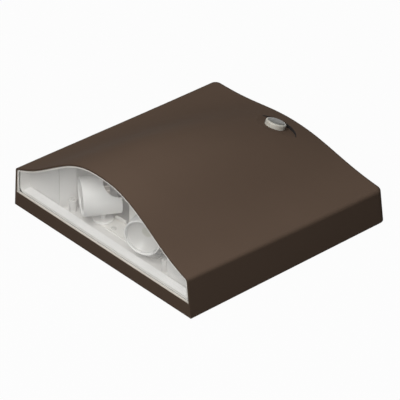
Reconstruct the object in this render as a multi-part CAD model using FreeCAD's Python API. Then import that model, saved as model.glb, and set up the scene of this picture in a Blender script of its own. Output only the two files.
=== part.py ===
import FreeCAD, Part
import math
import os

# Twin-head wall pack light. All lengths are millimetres.
# Frame: the wall is the plane z = 0 and +Z points out of it. +X runs along the light
# opening. -Y is down once the light hangs, so the opening is at the -Y end.
# The origin is the centre of the cover's footprint, on the wall.

os.makedirs("parts", exist_ok=True)
V = FreeCAD.Vector

# ---- Cover: outline ---------------------------------------------------------------
COVER_WIDTH = 300.0          # along the opening, at the wall edge
COVER_LENGTH = 292.4         # from the opening to the far end, at the wall edge
FAR_NARROWING = 4.6          # each side is this much nearer the middle at the far end
SIDE_DRAFT = 0.0685          # inward slope of the two sides, mm per mm of height
FAR_DRAFT = 0.035            # inward slope of the far end
MOUTH_LEAN = 0.035           # the opening's plane leans outward by this much
WALL = 2.0                   # cast wall thickness
RIM_Z = 1.5                  # height of the cover's rim above the wall

# ---- Cover: wave-shaped top ---------------------------------------------------------
# Each cross section is a flat shoulder with a bell-shaped crest on it.
# The crest falls along a parabola from the opening to the far end.
SHOULDER_NEAR = 42.8
SHOULDER_FAR = 41.8
CREST_NEAR = 117.6
CREST_FAR = 55.8
BELL_WIDTH_NEAR = 107.2
BELL_WIDTH_FAR = 82.0
BELL_POWER_NEAR = 2.44
BELL_POWER_FAR = 2.2
GRID_X = 34                  # grid steps of the surface across and along the cover
GRID_Y = 12

FAR_CORNER_R = 9.0
TOP_EDGE_R = 5.0
INNER_BEVEL = 1.8

# ---- Opening, lens and its seal -----------------------------------------------------
SILL_HEIGHT = 18.2           # solid bar under the opening
SILL_THICK = 3.0
LENS_SETBACK = 0.6
LENS_THICK = 2.5
SEAL_THICK = 0.8

# ---- Photocell and the scoop it sits in ---------------------------------------------
SCOOP_Y = 253.5              # distance from the opening
SCOOP_TILT = 25.0            # degrees, facing the sky once the light hangs
SCOOP_DEPTH = 2.2
SCOOP_HALF_X = 34.0
SCOOP_HALF_Y = 23.0
SCOOP_SHIFT = 5.0            # the oval lies this much nearer the opening than the button
SCOOP_FLOOR = 2.5
EYE_R = 12.0
EYE_HEIGHT = 6.0
EYE_SHOULDER = 1.6
EYE_STEPS = 4
EYE_STEM_R = 8.0
EYE_STEM_LENGTH = 20.0
EYE_CAP_R = 9.4
EYE_CAP_LENGTH = 14.0
NUT_AF = 22.0
NUT_THICK = 4.0

# ---- Back plate and what seals it ---------------------------------------------------
PLATE_THICK = 2.5
PLATE_GAP = 0.5              # plate edge to the inside of the cover
PLATE_CORNER_R = 6.0
WALL_SEAL_WIDTH = 12.0
WALL_SEAL_INSET = 1.0
RIM_SEAL = 3.0               # square section of the seal inside the cover's rim
SCREW_HOLES_X = 210.0
SCREW_HOLES_Y = 170.0
SCREW_HOLE_R = 2.75
BOX_SLOTS_X = 88.9           # screw distance of a common round junction box
BOX_SLOT_LENGTH = 14.0
BOX_SLOT_R = 2.4
ENTRY_R = 11.0
GROMMET_BORE_R = 7.0
GROMMET_LIP = 2.5
GROMMET_LIP_THICK = 1.5

# ---- How the cover holds on the plate: hooks at the opening, screws at the far end ----
HOOK_X = 70.0
HOOK_WIDTH = 18.0
LUG_Z = 7.5
LUG_THICK = 2.5
LUG_REACH = 6.0
HOOK_GAP = 0.4
HOOK_THICK = 2.0
EAR_X = 95.0
EAR_WIDTH = 16.0
EAR_HEIGHT = 16.0
EAR_SET = 4.0                # ear's back to the inside of the cover's far wall
COVER_SCREW_Z = 12.0
COVER_SCREW_R = 2.0
COVER_SCREW_HEAD_R = 4.0
COVER_SCREW_HEAD = 2.4
COVER_SCREW_LENGTH = 14.0
SPOT_DEPTH = 1.0

# ---- White tray behind the lens -----------------------------------------------------
TRAY_WALL = 1.5
TUNNEL_END = 16.6            # end of the straight part just behind the lens
SHELF_Z = 21.5               # top of the tunnel's bottom face
TRAY_FLOOR_Z = 19.0
TRAY_GAP = 0.6               # tray edge to the cover and to the lens
TRAY_PLAN = [(92.0, 16.6), (80.0, 30.4), (72.0, 80.0)]
TRAY_BLEND_R = 4.0
TRAY_BOSS_R = 4.6
TRAY_SCREWS = [(79.0, 24.0, 14.5), (64.0, 72.0, 6.0)]
STANDOFF_R = 4.0

# ---- Lamp heads ---------------------------------------------------------------------
HEAD_X = 41.8                # swivel axis from the middle
HEAD_Y = 36.5                # swivel axis from the opening
HEAD_Z = 53.9                # tilt axis above the wall
RIGHT_AIM = 21.4             # degrees outward from straight down
LEFT_AIM = 32.0
HEAD_DIP = 1.6               # degrees, mouth towards the wall
SLEEVE_R = 22.7
SLEEVE_WALL = 1.8
SLEEVE_FRONT = 25.3          # ahead of the tilt axis
SLEEVE_BACK = 18.7           # behind the tilt axis
NOTCH_R = 18.6
NOTCH_OFFSET = 13.0
NOTCH_TURN = 49.0            # degrees, the notch's axis as seen from the wall
NOTCH_RISE = 34.6
GLASS_THICK = 1.5
GLASS_SETBACK = 0.8
LEDGE_WIDTH = 1.2
LEDGE_THICK = 1.0
CUP_WALL = 0.8
CUP_THROAT_R = 6.5
CUP_BACK = -12.0             # reflector's throat, along the lamp axis
LED_BOARD_R = 10.0
LED_BOARD_THICK = 1.6
LED_CHIP_R = 4.5
LED_CHIP_THICK = 0.8
SINK_BASE_THICK = 3.0
SINK_FIN_END = 6.0
SINK_FIN_THICK = 1.5
SINK_FIN_X = (9.5, 13.5, 17.5)
SINK_GAP = 0.2

# ---- Swivels that carry the heads ---------------------------------------------------
PIN_R = 2.0
RUNNING_GAP = 0.05
EYE_HALF = 3.0
STEM_R = 3.0
SWIVEL_EYE_R = 5.0
YOKE_GAP = 0.4
YOKE_THICK = 3.0
YOKE_R = 5.0
PIN_PROUD = 0.8
STEM_SLOT_WIDTH = 8.0
STEM_SLOT_HALF = 9.0
DISC_R = 12.0
DISC_THICK = 2.5
DISC_GAP = 0.3
SPIGOT_R = 4.0
SPIGOT_END = 4.5             # below the foot's underside
SWIVEL_NUT_AF = 13.0
SWIVEL_NUT_THICK = 3.0
NUT_ROOM_R = 9.0

# ---- Bracket that carries both swivels ----------------------------------------------
SHEET = 1.5
FOOT_HALF_X = 56.0
FOOT_NEAR_Y = 28.0
UPRIGHT_Y = 52.0
UPRIGHT_HALF_X = 15.0
UPRIGHT_TOP = 76.0
UPRIGHT_CORNER_R = 6.0
FOOT_CORNER_R = 6.0
BRACKET_SCREW_X = 20.0
BRACKET_SCREW_Y = 33.0
SMALL_SCREW_R = 1.5
SMALL_HEAD_R = 3.0
SMALL_HEAD_THICK = 1.8
SCREW_END = 2.0              # a sheet screw's point below what it holds

# ---- Electrical parts ---------------------------------------------------------------
CELL_R = 16.3
CELL_LENGTH = 61.0
CELLS = 3
PACK_X = -68.0
PACK_Y = 190.0
FILM = 0.5
STRAP_WIDTH = 14.0
STRAP_THICK = 1.2
STRAP_EAR = 12.0
DRIVER_SIZE = (96.0, 42.0, 26.0)
DRIVER_X = 72.0
DRIVER_Y = 112.0
DRIVER_EDGE_R = 3.0
DRIVER_EAR = 8.0
DRIVER_EAR_THICK = 2.0
BOARD_SIZE = (92.0, 62.0, 1.6)
BOARD_X = 72.0
BOARD_Y = 195.0
BOARD_HOLE_INSET = 4.5
BOARD_POST_R = 3.0
BOARD_POST_HEIGHT = 8.0
TERMINAL_SIZE = (36.0, 14.0, 13.0)
TERMINAL_WAYS = 3
TERMINAL_X = -62.0
TERMINAL_Y = 120.0
EARTH_X = -28.0
EARTH_Y = 120.0
EARTH_SCREW_R = 2.0
EARTH_HEAD_R = 4.0
EARTH_HEAD_THICK = 2.4

# ---- Values worked out from the ones above ------------------------------------------
MOUTH_Y = -COVER_LENGTH / 2
PLATE_Z = RIM_Z
PLATE_TOP = PLATE_Z + PLATE_THICK
SILL_Z = RIM_Z + SILL_HEIGHT
TALL = CREST_NEAR + 30.0
TRAY_CEILING_GAP = 1.5
SCREW_ENGAGE = 6.0
TRAY_NEAR = LENS_SETBACK + LENS_THICK + TRAY_GAP
TRAY_UNDER = TRAY_FLOOR_Z - TRAY_WALL
FOOT_TOP = TRAY_FLOOR_Z + SHEET
FAR_WALL_Y = COVER_LENGTH / 2


def from_mouth(distance):
    """Frame y of a point that lies this far behind the opening's lower edge."""
    return MOUTH_Y + distance


def save(shape, node):
    shape.exportStep("parts/" + node + ".step")


def fuse(shapes):
    return shapes[0].multiFuse(shapes[1:]).removeSplitter()


def cylinder(radius, start, end):
    axis = end.sub(start)
    return Part.makeCylinder(radius, axis.Length, start, axis)


def box(x0, x1, y0, y1, z0, z1):
    return Part.makeBox(x1 - x0, y1 - y0, z1 - z0, V(x0, y0, z0))


def hexagon(across_flats, thick):
    radius = across_flats / math.sqrt(3)
    points = []
    for i in range(7):
        angle = math.radians(60 * i)
        points.append(V(radius * math.cos(angle), radius * math.sin(angle), 0))
    return Part.Face(Part.makePolygon(points)).extrude(V(0, 0, thick))


def mirrored(shape):
    return shape.mirror(V(0, 0, 0), V(1, 0, 0))


def both_sides(shape):
    return [shape, mirrored(shape)]


def rounded_box(x0, x1, y0, y1, z0, z1, radius):
    """A block with its four upright edges rounded."""
    block = box(x0, x1, y0, y1, z0, z1)
    upright = [e for e in block.Edges if abs(e.tangentAt(e.FirstParameter).z) > 0.99]
    return block.makeFillet(radius, upright)


# ---- The cover's envelope -----------------------------------------------------------
def crest_shape(x, y):
    """Height of the cover's top above its rim."""
    t = y / COVER_LENGTH
    shoulder = SHOULDER_NEAR + (SHOULDER_FAR - SHOULDER_NEAR) * t
    crest = CREST_NEAR + (CREST_FAR - CREST_NEAR) * t * t
    width = BELL_WIDTH_NEAR + (BELL_WIDTH_FAR - BELL_WIDTH_NEAR) * t
    power = BELL_POWER_NEAR + (BELL_POWER_FAR - BELL_POWER_NEAR) * t
    return shoulder + (crest - shoulder) * math.exp(-((abs(x) / width) ** power))


def top_height(x, y, inset):
    """Height above the wall of the top, moved inward at right angles by inset."""
    step = 0.5
    slope_x = (crest_shape(x + step, y) - crest_shape(x - step, y)) / (2 * step)
    slope_y = (crest_shape(x, y + step) - crest_shape(x, y - step)) / (2 * step)
    stretch = math.sqrt(1 + slope_x * slope_x + slope_y * slope_y)
    return RIM_Z + crest_shape(x, y) - inset * stretch


def under_top(inset):
    """Everything below the wave-shaped top."""
    half = COVER_WIDTH / 2 + 12.0
    rows = []
    for i in range(GRID_X + 1):
        x = -half + 2 * half * i / GRID_X
        row = []
        for j in range(GRID_Y + 1):
            y = -14.0 + (COVER_LENGTH + 24.0) * j / GRID_Y
            row.append(V(x, from_mouth(y), top_height(x, y, inset)))
        rows.append(row)
    surface = Part.BSplineSurface()
    surface.interpolate(rows)
    return surface.toShape().extrude(V(0, 0, -2 * TALL))


def half_width(y, height, inset):
    return (COVER_WIDTH / 2 - FAR_NARROWING * y / COVER_LENGTH
            - SIDE_DRAFT * height - inset)


def drafted_block(front, side_inset, far_inset, low):
    """The plan outline pulled upward with drafted sides.

    front is the distance of its front face behind the opening's leaning plane.
    """
    levels = []
    for z in (low, TALL):
        height = z - RIM_Z
        near = front - MOUTH_LEAN * height
        far = COVER_LENGTH - FAR_DRAFT * height - far_inset
        a = half_width(near, height, side_inset)
        b = half_width(far, height, side_inset)
        levels.append([V(-a, from_mouth(near), z), V(a, from_mouth(near), z),
                       V(b, from_mouth(far), z), V(-b, from_mouth(far), z)])
    bottom, top = levels
    faces = [Part.Face(Part.makePolygon(bottom + bottom[:1])),
             Part.Face(Part.makePolygon(top + top[:1]))]
    for i in range(4):
        j = (i + 1) % 4
        ring = [bottom[i], bottom[j], top[j], top[i], bottom[i]]
        faces.append(Part.Face(Part.makePolygon(ring)))
    return Part.makeSolid(Part.makeShell(faces))


def leaning_slab(near, far, low, high):
    """A slab parallel to the opening's plane, between two distances behind it."""
    points = []
    for depth, z in ((near, low), (far, low), (far, high), (near, high)):
        points.append(V(-COVER_WIDTH, from_mouth(depth - MOUTH_LEAN * (z - RIM_Z)), z))
    ring = Part.makePolygon(points + points[:1])
    return Part.Face(ring).extrude(V(2 * COVER_WIDTH, 0, 0))


def envelope(inset, front, low):
    return drafted_block(front, inset, inset, low).common(under_top(inset))


def edges_where(shape, test):
    chosen = []
    for edge in shape.Edges:
        middle = edge.valueAt((edge.FirstParameter + edge.LastParameter) / 2)
        direction = edge.tangentAt((edge.FirstParameter + edge.LastParameter) / 2)
        if test(middle, direction):
            chosen.append(edge)
    return chosen


def round_corners(form, radius):
    """Round the two upright edges at the far end."""
    return form.makeFillet(radius, edges_where(
        form, lambda m, d: m.y > 0 and abs(m.x) > 130 and abs(d.z) > 0.9))


def top_edges(form):
    """The edges between the walls and the wave-shaped top, but not at the opening."""
    return edges_where(form, lambda m, d: m.z > RIM_Z + 30 and (
        m.y > MOUTH_Y + 60 or (abs(m.x) > 130 and abs(d.y) > 0.9)))


def soft_envelope(inset, front, low):
    """The space inside the cover at this distance from its outside."""
    form = round_corners(envelope(inset, front, low), FAR_CORNER_R - inset)
    return form.makeChamfer(INNER_BEVEL, top_edges(form))


def outer_form():
    """The cover's outside, with its cast radii."""
    form = round_corners(envelope(0.0, 0.0, RIM_Z), FAR_CORNER_R)
    return form.makeFillet(TOP_EDGE_R, top_edges(form))


# ---- Photocell scoop ----------------------------------------------------------------
def scoop_frame():
    """Placement whose local z is the photocell's axis, at the scoop's floor."""
    height = RIM_Z + crest_shape(0.0, SCOOP_Y) - SCOOP_DEPTH
    return FreeCAD.Placement(V(0, from_mouth(SCOOP_Y), height),
                             FreeCAD.Rotation(V(1, 0, 0), -SCOOP_TILT))


def placed(shape, placement):
    copy = shape.copy()
    copy.Placement = placement.multiply(copy.Placement)
    return copy


def oval(half_x, half_y, low, high):
    ring = Part.Wire([Part.Ellipse(V(0, -SCOOP_SHIFT, low), half_x, half_y).toShape()])
    return placed(Part.Face(ring).extrude(V(0, 0, high - low)), scoop_frame())


# ---- Cover --------------------------------------------------------------------------
def along_y(radius, x, z, start, length):
    """Cylinder along -Y, starting at the frame y given."""
    return cylinder(radius, V(x, start, z), V(x, start - length, z))


def screw_seat():
    """Frame y of the flat that a cover screw's head sits on."""
    return FAR_WALL_Y - FAR_DRAFT * COVER_SCREW_Z - SPOT_DEPTH


def hook_lug(x):
    """Lug behind the sill that the plate's hook holds down."""
    inner = from_mouth(SILL_THICK)
    return box(x - HOOK_WIDTH / 2, x + HOOK_WIDTH / 2, inner - SILL_THICK / 2,
               inner + LUG_REACH, LUG_Z, LUG_Z + LUG_THICK)


def front_cover():
    outside = outer_form()
    sill = leaning_slab(-2 * SILL_THICK, SILL_THICK, -TALL, SILL_Z)
    shell = outside.cut(soft_envelope(WALL, -SILL_THICK, -RIM_Z).cut(sill))
    pad = oval(SCOOP_HALF_X + WALL, SCOOP_HALF_Y + WALL, -SCOOP_FLOOR, WALL)
    cover = fuse([shell, pad.common(outside), hook_lug(HOOK_X), hook_lug(-HOOK_X)])
    cover = cover.cut(oval(SCOOP_HALF_X, SCOOP_HALF_Y, 0.0, 3 * SCOOP_HALF_Y))
    stem_hole = cylinder(EYE_STEM_R + RUNNING_GAP, V(0, 0, -2 * NUT_THICK), V(0, 0, NUT_THICK))
    cover = cover.cut(placed(stem_hole, scoop_frame()))
    for x in (-EAR_X, EAR_X):
        hole_r = COVER_SCREW_R + RUNNING_GAP
        spot_r = COVER_SCREW_HEAD_R + DISC_GAP
        cover = cover.cut(along_y(hole_r, x, COVER_SCREW_Z, FAR_WALL_Y, 3 * WALL))
        cover = cover.cut(along_y(spot_r, x, COVER_SCREW_Z, FAR_WALL_Y, FAR_WALL_Y - screw_seat()))
    return cover


def lens():
    inset = WALL + SEAL_THICK
    slab = leaning_slab(LENS_SETBACK, LENS_SETBACK + LENS_THICK, SILL_Z + SEAL_THICK, TALL)
    return slab.common(soft_envelope(inset, -SILL_THICK, RIM_Z))


def lens_seal():
    slab = leaning_slab(LENS_SETBACK, LENS_SETBACK + LENS_THICK, SILL_Z, TALL)
    outer = slab.common(soft_envelope(WALL, -SILL_THICK, RIM_Z))
    return outer.cut(lens())


# ---- Photocell ----------------------------------------------------------------------
def photocell_cap():
    """Translucent button with a rounded shoulder, the part that sees daylight."""
    profile = [V(0, 0, 0), V(EYE_R, 0, 0)]
    for i in range(EYE_STEPS + 1):
        angle = math.radians(90.0 * i / EYE_STEPS)
        profile.append(V(EYE_R - EYE_SHOULDER * (1 - math.cos(angle)), 0,
                         EYE_HEIGHT - EYE_SHOULDER * (1 - math.sin(angle))))
    profile.append(V(0, 0, EYE_HEIGHT))
    face = Part.Face(Part.makePolygon(profile + profile[:1]))
    return placed(face.revolve(V(0, 0, 0), V(0, 0, 1), 360), scoop_frame())


def photocell_body():
    stem = cylinder(EYE_STEM_R, V(0, 0, 0), V(0, 0, -EYE_STEM_LENGTH))
    can = cylinder(EYE_CAP_R, V(0, 0, -EYE_STEM_LENGTH), V(0, 0, -EYE_STEM_LENGTH - EYE_CAP_LENGTH))
    return placed(fuse([stem, can]), scoop_frame())


def photocell_nut():
    nut = hexagon(NUT_AF, NUT_THICK).cut(cylinder(EYE_STEM_R, V(0, 0, 0), V(0, 0, NUT_THICK)))
    nut.translate(V(0, 0, -SCOOP_FLOOR - NUT_THICK))
    return placed(nut, scoop_frame())


# ---- Back plate and seals -----------------------------------------------------------
def plan_prism(inset, low, high):
    """The cover's inner plan outline as an upright plate."""
    near = SILL_THICK + inset
    far = COVER_LENGTH - WALL - inset
    a = half_width(near, PLATE_THICK, WALL + inset)
    b = half_width(far, PLATE_THICK, WALL + inset)
    ring = [V(-a, from_mouth(near), low), V(a, from_mouth(near), low),
            V(b, from_mouth(far), low), V(-b, from_mouth(far), low)]
    block = Part.Face(Part.makePolygon(ring + ring[:1])).extrude(V(0, 0, high - low))
    return block.makeFillet(PLATE_CORNER_R, edges_where(block, lambda m, d: abs(d.z) > 0.9))


def slot(x, low, high):
    run = BOX_SLOT_LENGTH / 2 - BOX_SLOT_R
    return fuse([box(x - run, x + run, -BOX_SLOT_R, BOX_SLOT_R, low, high),
                 cylinder(BOX_SLOT_R, V(x - run, 0, low), V(x - run, 0, high)),
                 cylinder(BOX_SLOT_R, V(x + run, 0, low), V(x + run, 0, high))])


def plate_hook(x):
    """Bent tongue that reaches over the lug behind the sill."""
    low = LUG_Z + LUG_THICK + HOOK_GAP
    back = from_mouth(SILL_THICK) + LUG_REACH + HOOK_GAP
    front = from_mouth(SILL_THICK) + 2 * HOOK_GAP
    half = HOOK_WIDTH / 2 - HOOK_GAP
    return fuse([box(x - half, x + half, back, back + HOOK_THICK, PLATE_Z, low + HOOK_THICK),
                 box(x - half, x + half, front, back + HOOK_THICK, low, low + HOOK_THICK)])


def plate_ear(x):
    """Upright ear at the far end, tapped for a cover screw."""
    back = FAR_WALL_Y - WALL - EAR_SET
    ear = box(x - EAR_WIDTH / 2, x + EAR_WIDTH / 2, back - HOOK_THICK, back,
              PLATE_Z, PLATE_TOP + EAR_HEIGHT)
    corners = edges_where(ear, lambda m, d: abs(d.y) > 0.9 and m.z > PLATE_TOP)
    ear = ear.makeFillet(HOOK_THICK * 2, corners)
    return ear.cut(along_y(COVER_SCREW_R, x, COVER_SCREW_Z, FAR_WALL_Y, 3 * COVER_SCREW_LENGTH))


def back_plate():
    plate = plan_prism(PLATE_GAP, PLATE_Z, PLATE_TOP)
    plate = fuse([plate] + [plate_hook(x) for x in (-HOOK_X, HOOK_X)]
                 + [plate_ear(x) for x in (-EAR_X, EAR_X)])
    cuts = [cylinder(ENTRY_R, V(0, 0, 0), V(0, 0, PLATE_TOP + 1)),
            slot(BOX_SLOTS_X / 2, 0, PLATE_TOP + 1),
            slot(-BOX_SLOTS_X / 2, 0, PLATE_TOP + 1)]
    for x in (-SCREW_HOLES_X / 2, SCREW_HOLES_X / 2):
        for y in (-SCREW_HOLES_Y / 2, SCREW_HOLES_Y / 2):
            cuts.append(cylinder(SCREW_HOLE_R, V(x, y, 0), V(x, y, PLATE_TOP + 1)))
    for cut in cuts:
        plate = plate.cut(cut)
    return plate


def cover_screws():
    screws = []
    for x in (-EAR_X, EAR_X):
        seat = screw_seat()
        shank = along_y(COVER_SCREW_R, x, COVER_SCREW_Z, seat, COVER_SCREW_LENGTH)
        head = along_y(COVER_SCREW_HEAD_R, x, COVER_SCREW_Z, seat + COVER_SCREW_HEAD,
                       COVER_SCREW_HEAD)
        crown = edges_where(head, lambda m, d: m.y > seat + COVER_SCREW_HEAD - 0.01)
        screws.append(fuse([shank, head.makeChamfer(COVER_SCREW_HEAD / 3, crown)]))
    return Part.makeCompound(screws)


def wall_seal():
    outer = plan_prism(WALL_SEAL_INSET, 0.0, PLATE_Z)
    return outer.cut(plan_prism(WALL_SEAL_INSET + WALL_SEAL_WIDTH, -1.0, PLATE_Z + 1))


def rim_seal():
    """Square cord lying on the plate, just inside the cover."""
    outer = plan_prism(PLATE_GAP, PLATE_TOP, PLATE_TOP + RIM_SEAL)
    cord = outer.cut(plan_prism(PLATE_GAP + RIM_SEAL, 0.0, TALL))
    return cord.common(soft_envelope(WALL + RUNNING_GAP, SILL_THICK, 0.0))


def entry_grommet():
    lip = ENTRY_R + GROMMET_LIP
    rings = [cylinder(lip, V(0, 0, PLATE_TOP), V(0, 0, PLATE_TOP + GROMMET_LIP_THICK)),
             cylinder(ENTRY_R, V(0, 0, PLATE_Z), V(0, 0, PLATE_TOP)),
             cylinder(lip, V(0, 0, PLATE_Z - GROMMET_LIP_THICK), V(0, 0, PLATE_Z))]
    bore = cylinder(GROMMET_BORE_R, V(0, 0, 0), V(0, 0, PLATE_TOP + 2 * GROMMET_LIP_THICK))
    return fuse(rings).cut(bore)


# ---- White tray ---------------------------------------------------------------------
def tray_screw_points():
    """Frame x and y and the boss height of every screw that holds the tray."""
    points = []
    for x, distance, height in TRAY_SCREWS:
        points.append((x, from_mouth(distance), height))
        points.append((-x, from_mouth(distance), height))
    return points


def pocket_prism(grow, low):
    """The middle of the tray, where the lamp heads stand."""
    half = [(TRAY_PLAN[0][0], TRAY_NEAR)] + TRAY_PLAN
    half = [(x + grow, y + (grow if y == TRAY_PLAN[-1][1] else 0)) for x, y in half]
    outline = [(-x, y) for x, y in half] + [(x, y) for x, y in reversed(half)]
    points = [V(x, from_mouth(y), low) for x, y in outline]
    prism = Part.Face(Part.makePolygon(points + points[:1])).extrude(V(0, 0, TALL - low))
    behind = edges_where(
        prism, lambda m, d: abs(d.z) > 0.9 and m.y > from_mouth(TUNNEL_END + 1))
    return prism.makeFillet(TRAY_BLEND_R + grow, behind)


def tunnel_room(inset, near, far, low):
    """The straight channel behind the lens, its bottom corners rounded."""
    room = soft_envelope(WALL + TRAY_GAP + inset, -SILL_THICK, low)
    slab = leaning_slab(near, far, low, 2 * TALL).common(room)
    corners = edges_where(slab, lambda m, d: m.z < low + 0.1 and abs(d.y) > 0.9)
    return slab.makeFillet(2 * TRAY_BLEND_R - inset, corners)


def reflector_tray():
    """Moulded white tray: a channel behind the lens, then a pocket for the heads."""
    ceiling = soft_envelope(WALL + TRAY_CEILING_GAP, -SILL_THICK, RIM_Z)
    channel = tunnel_room(0.0, TRAY_NEAR, TUNNEL_END + TRAY_WALL, SHELF_Z - TRAY_WALL)
    pocket = pocket_prism(TRAY_WALL, TRAY_UNDER).common(
        leaning_slab(TUNNEL_END, COVER_LENGTH, 0.0, 2 * TALL))
    outside = fuse([channel, pocket]).common(ceiling)
    inside = pocket_prism(0.0, TRAY_FLOOR_Z).common(
        leaning_slab(TUNNEL_END - 1.0, COVER_LENGTH, 0.0, 2 * TALL))
    tray = outside.cut(tunnel_room(TRAY_WALL, -WALL, TUNNEL_END, SHELF_Z)).cut(inside)
    for x, y, height in tray_screw_points():
        tray = tray.fuse(cylinder(TRAY_BOSS_R, V(x, y, TRAY_UNDER), V(x, y, TRAY_FLOOR_Z + height)))
    tray = tray.removeSplitter()
    for x, y, height in tray_screw_points():
        tray = tray.cut(cylinder(SMALL_SCREW_R, V(x, y, 0), V(x, y, TALL)))
    for x in (-HEAD_X, HEAD_X):
        y = from_mouth(HEAD_Y)
        tray = tray.cut(cylinder(NUT_ROOM_R, V(x, y, 0), V(x, y, TRAY_FLOOR_Z + 1)))
    for x in (-BRACKET_SCREW_X, BRACKET_SCREW_X):
        y = from_mouth(BRACKET_SCREW_Y)
        tray = tray.cut(cylinder(SMALL_SCREW_R, V(x, y, 0), V(x, y, TRAY_FLOOR_Z + 1)))
    return tray


def tray_standoffs():
    posts = []
    for x, y, height in tray_screw_points():
        post = cylinder(STANDOFF_R, V(x, y, PLATE_TOP), V(x, y, TRAY_UNDER))
        posts.append(post.cut(cylinder(SMALL_SCREW_R, V(x, y, 0), V(x, y, TALL))))
    return Part.makeCompound(posts)


def pan_head_screw(x, y, seat, length):
    """Small screw standing on its shank, its head resting on seat."""
    shank = cylinder(SMALL_SCREW_R, V(x, y, seat - length), V(x, y, seat))
    head = cylinder(SMALL_HEAD_R, V(x, y, seat), V(x, y, seat + SMALL_HEAD_THICK))
    crown = edges_where(head, lambda m, d: m.z > seat + SMALL_HEAD_THICK - 0.01)
    return fuse([shank, head.makeChamfer(SMALL_HEAD_THICK / 3, crown)])


def tray_screws():
    screws = []
    for x, y, height in tray_screw_points():
        seat = TRAY_FLOOR_Z + height
        screws.append(pan_head_screw(x, y, seat, seat - TRAY_UNDER + SCREW_ENGAGE))
    return Part.makeCompound(screws)


# ---- Bracket ------------------------------------------------------------------------
def head_bracket():
    """One bent sheet: a foot on the tray and an upright between the two heads."""
    back = from_mouth(UPRIGHT_Y) + SHEET
    foot = rounded_box(-FOOT_HALF_X, FOOT_HALF_X, from_mouth(FOOT_NEAR_Y), back,
                       TRAY_FLOOR_Z, FOOT_TOP, FOOT_CORNER_R)
    upright = box(-UPRIGHT_HALF_X, UPRIGHT_HALF_X, back - SHEET, back,
                  TRAY_FLOOR_Z, UPRIGHT_TOP)
    upright = upright.makeFillet(UPRIGHT_CORNER_R, edges_where(
        upright, lambda m, d: abs(d.y) > 0.9 and m.z > FOOT_TOP))
    bracket = fuse([foot, upright])
    y = from_mouth(HEAD_Y)
    for x in (-HEAD_X, HEAD_X):
        bracket = bracket.cut(cylinder(SPIGOT_R + RUNNING_GAP, V(x, y, 0), V(x, y, FOOT_TOP + 1)))
    y = from_mouth(BRACKET_SCREW_Y)
    for x in (-BRACKET_SCREW_X, BRACKET_SCREW_X):
        bracket = bracket.cut(cylinder(SMALL_SCREW_R, V(x, y, 0), V(x, y, FOOT_TOP + 1)))
    return bracket


def bracket_screws():
    y = from_mouth(BRACKET_SCREW_Y)
    length = SHEET + TRAY_WALL + SCREW_END
    return Part.makeCompound([pan_head_screw(x, y, FOOT_TOP, length)
                              for x in (-BRACKET_SCREW_X, BRACKET_SCREW_X)])


# ---- Lamp heads, built round their tilt axis with the mouth towards -Y ---------------
def swivel_frame(side):
    """Placement of one swivel: side is +1 for the right head, -1 for the left."""
    aim = RIGHT_AIM if side > 0 else -LEFT_AIM
    return FreeCAD.Placement(V(side * HEAD_X, from_mouth(HEAD_Y), HEAD_Z),
                             FreeCAD.Rotation(V(0, 0, 1), aim))


def head_frame(side):
    dip = FreeCAD.Placement(V(0, 0, 0), FreeCAD.Rotation(V(1, 0, 0), HEAD_DIP))
    return swivel_frame(side).multiply(dip)


def turned(points):
    """Solid turned about the lamp axis from (radius, distance along it) points."""
    ring = [V(r, y, 0) for r, y in points]
    return Part.Face(Part.makePolygon(ring + ring[:1])).revolve(V(0, 0, 0), V(0, 1, 0), 360)


def notch_cutter(side):
    """Round bar that takes the rear inner corner off a sleeve, placed in the part."""
    turn = math.radians(NOTCH_TURN)
    rise = math.radians(NOTCH_RISE)
    axis = V(-side * math.cos(rise) * math.sin(turn), -math.cos(rise) * math.cos(turn),
             math.sin(rise))
    across = V(side * math.sin(rise) * math.sin(turn), math.sin(rise) * math.cos(turn),
               math.cos(rise))
    start = head_frame(side).multVec(V(0, SLEEVE_BACK, 0)).add(across.multiply(NOTCH_OFFSET))
    return cylinder(NOTCH_R, start, start.add(axis.multiply(3 * SLEEVE_R)))


def head_sleeve(side):
    """White tube with a ledge behind its glass, a stem slot and a round notch."""
    bore_r = SLEEVE_R - SLEEVE_WALL
    tube = turned([(bore_r, -SLEEVE_FRONT), (SLEEVE_R, -SLEEVE_FRONT), (SLEEVE_R, SLEEVE_BACK),
                   (bore_r, SLEEVE_BACK)])
    rims = edges_where(tube, lambda m, d: abs(d.y) < 0.1)
    tube = tube.makeChamfer(SLEEVE_WALL / 4, rims)
    ledge_y = GLASS_SETBACK + GLASS_THICK - SLEEVE_FRONT
    ledge = turned([(bore_r - LEDGE_WIDTH, ledge_y), (bore_r + SLEEVE_WALL / 2, ledge_y),
                    (bore_r + SLEEVE_WALL / 2, ledge_y + LEDGE_THICK),
                    (bore_r - LEDGE_WIDTH, ledge_y + LEDGE_THICK)])
    sleeve = tube.fuse(ledge)
    half = STEM_SLOT_WIDTH / 2
    run = STEM_SLOT_HALF - half
    for cutter in (box(-half, half, -run, run, -2 * SLEEVE_R, -SLEEVE_R / 2),
                   cylinder(half, V(0, -run, -2 * SLEEVE_R), V(0, -run, -SLEEVE_R / 2)),
                   cylinder(half, V(0, run, -2 * SLEEVE_R), V(0, run, -SLEEVE_R / 2))):
        sleeve = sleeve.cut(cutter)
    return placed(sleeve, head_frame(side)).cut(notch_cutter(side))


def head_glass():
    near = GLASS_SETBACK - SLEEVE_FRONT
    return cylinder(SLEEVE_R - SLEEVE_WALL, V(0, near, 0), V(0, near + GLASS_THICK, 0))


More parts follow.
